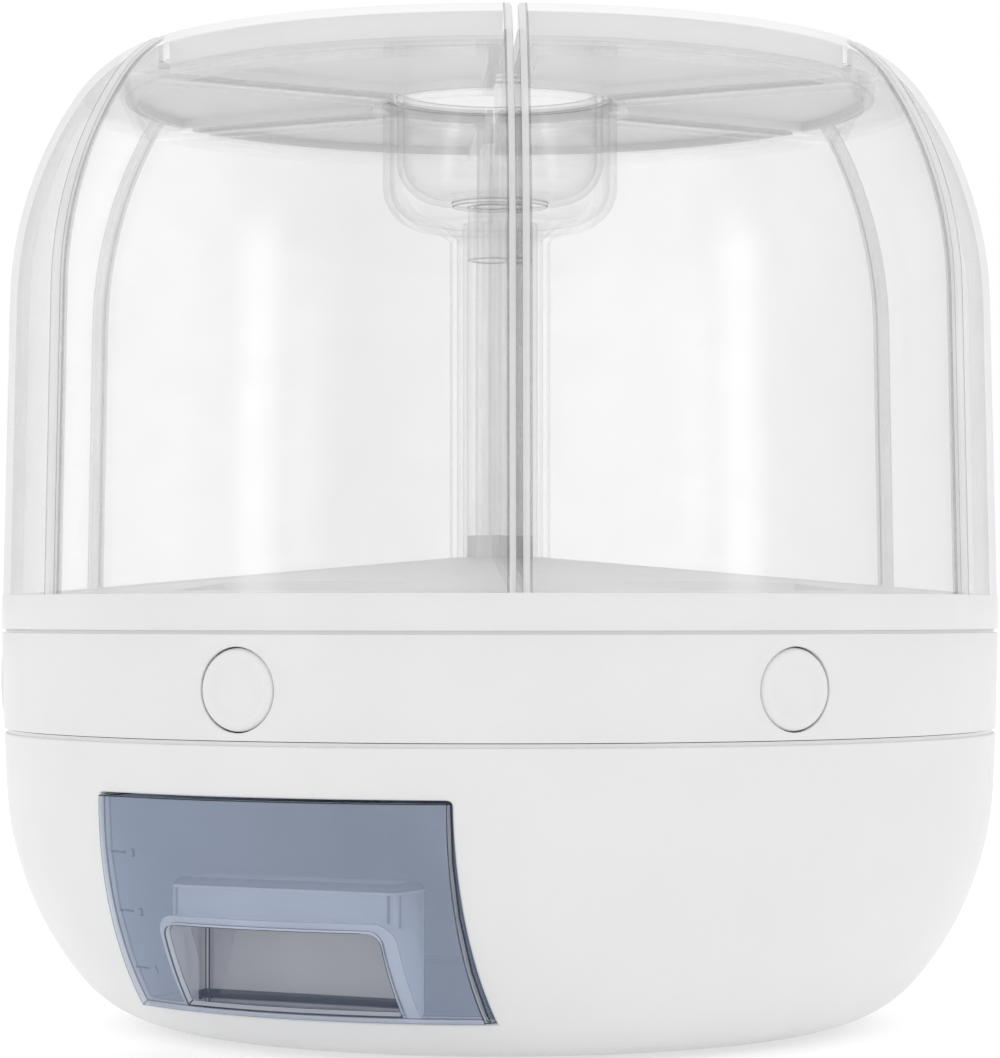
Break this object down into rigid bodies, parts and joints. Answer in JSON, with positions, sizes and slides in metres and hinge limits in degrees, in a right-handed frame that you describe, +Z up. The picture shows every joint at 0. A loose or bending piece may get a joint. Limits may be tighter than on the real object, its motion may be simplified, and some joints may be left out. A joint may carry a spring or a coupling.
{
  "type": "rotating grain dispenser",
  "caption": "Round turntable dry-food dispenser: clear wedge bins with fan-shaped lids turn on a white base, and push buttons let grain fall into a tinted pull-out drawer.",
  "frame": {"origin": "centre of the table plane under the spindle, at the feet's bottom", "axes": "+Z up along the spindle, -Y towards the drawer's pull, +X to the right of the drawer as it is seen from in front"},
  "size_m": [0.32, 0.3234, 0.3082],
  "materials": {
    "white_plastic": "satin moulded ABS",
    "clear_plastic": "polished clear moulding",
    "smoke_plastic": "polished blue-grey tinted moulding",
    "silicone": "soft matte silicone",
    "rubber": "matte rubber",
    "slick_plastic": "plain low-friction plastic",
    "steel": "zinc plated"
  },
  "bodies": {
    "base": {"base_shell": "white_plastic", "base_deck": "white_plastic", "drawer_bay": "white_plastic", "glide_pads": "slick_plastic", "foot_pads": "rubber", "deck_screws": "steel", "bay_screws": "steel", "hub_washer": "steel", "hub_screw": "steel"},
    "drum": {"button_ring": "white_plastic", "ring_floor": "white_plastic", "floor_screws": "steel", "bin_tray": "white_plastic", "centre_column": "clear_plastic", "grain_bin_1": "clear_plastic", "grain_bin_2": "clear_plastic", "grain_bin_3": "clear_plastic", "grain_bin_4": "clear_plastic", "grain_bin_5": "clear_plastic", "grain_bin_6": "clear_plastic", "gate_spring_1": "steel", "gate_spring_2": "steel", "gate_spring_3": "steel", "gate_spring_4": "steel", "gate_spring_5": "steel", "gate_spring_6": "steel"},
    "drawer": {"measuring_drawer": "smoke_plastic"},
    "centre_cup": {"centre_cup": "clear_plastic"},
    "lid_1": {"bin_lid_1": "white_plastic", "lid_seal_1": "silicone"},
    "lid_2": {"bin_lid_2": "white_plastic", "lid_seal_2": "silicone"},
    "lid_3": {"bin_lid_3": "white_plastic", "lid_seal_3": "silicone"},
    "lid_4": {"bin_lid_4": "white_plastic", "lid_seal_4": "silicone"},
    "lid_5": {"bin_lid_5": "white_plastic", "lid_seal_5": "silicone"},
    "lid_6": {"bin_lid_6": "white_plastic", "lid_seal_6": "silicone"},
    "button_1": {"push_button_1": "white_plastic", "outlet_gate_1": "white_plastic"},
    "button_2": {"push_button_2": "white_plastic", "outlet_gate_2": "white_plastic"},
    "button_3": {"push_button_3": "white_plastic", "outlet_gate_3": "white_plastic"},
    "button_4": {"push_button_4": "white_plastic", "outlet_gate_4": "white_plastic"},
    "button_5": {"push_button_5": "white_plastic", "outlet_gate_5": "white_plastic"},
    "button_6": {"push_button_6": "white_plastic", "outlet_gate_6": "white_plastic"}
  },
  "joints": [
    {"name": "drum_spin", "type": "hinge", "parent": "base", "child": "drum", "pos_m": [0, 0, 0.1], "axis": [0, 0, 1], "continuous": true},
    {"name": "drawer_slide", "type": "slide", "parent": "base", "child": "drawer", "axis": [0, -1, 0], "range_m": [0, 0.095]},
    {"name": "cup_lift", "type": "slide", "parent": "drum", "child": "centre_cup", "axis": [0, 0, 1], "range_m": [0, 0.06]},
    {"name": "lid_lift_1", "type": "slide", "parent": "drum", "child": "lid_1", "axis": [0, 0, 1], "range_m": [0, 0.06]},
    {"name": "lid_lift_2", "type": "slide", "parent": "drum", "child": "lid_2", "axis": [0, 0, 1], "range_m": [0, 0.06]},
    {"name": "lid_lift_3", "type": "slide", "parent": "drum", "child": "lid_3", "axis": [0, 0, 1], "range_m": [0, 0.06]},
    {"name": "lid_lift_4", "type": "slide", "parent": "drum", "child": "lid_4", "axis": [0, 0, 1], "range_m": [0, 0.06]},
    {"name": "lid_lift_5", "type": "slide", "parent": "drum", "child": "lid_5", "axis": [0, 0, 1], "range_m": [0, 0.06]},
    {"name": "lid_lift_6", "type": "slide", "parent": "drum", "child": "lid_6", "axis": [0, 0, 1], "range_m": [0, 0.06]},
    {"name": "button_push_1", "type": "slide", "parent": "drum", "child": "button_1", "axis": [0.0279, 0.9996, 0], "range_m": [0, 0.011], "stiffness_N_per_m": 250, "springref_m": -0.008, "deforming": ["gate_spring_1"]},
    {"name": "button_push_2", "type": "slide", "parent": "drum", "child": "button_2", "axis": [-0.8517, 0.524, 0], "range_m": [0, 0.011], "stiffness_N_per_m": 250, "springref_m": -0.008, "deforming": ["gate_spring_2"]},
    {"name": "button_push_3", "type": "slide", "parent": "drum", "child": "button_3", "axis": [-0.8796, -0.4756, 0], "range_m": [0, 0.011], "stiffness_N_per_m": 250, "springref_m": -0.008, "deforming": ["gate_spring_3"]},
    {"name": "button_push_4", "type": "slide", "parent": "drum", "child": "button_4", "axis": [-0.0279, -0.9996, 0], "range_m": [0, 0.011], "stiffness_N_per_m": 250, "springref_m": -0.008, "deforming": ["gate_spring_4"]},
    {"name": "button_push_5", "type": "slide", "parent": "drum", "child": "button_5", "axis": [0.8517, -0.524, 0], "range_m": [0, 0.011], "stiffness_N_per_m": 250, "springref_m": -0.008, "deforming": ["gate_spring_5"]},
    {"name": "button_push_6", "type": "slide", "parent": "drum", "child": "button_6", "axis": [0.8796, 0.4756, 0], "range_m": [0, 0.011], "stiffness_N_per_m": 250, "springref_m": -0.008, "deforming": ["gate_spring_6"]}
  ]
}
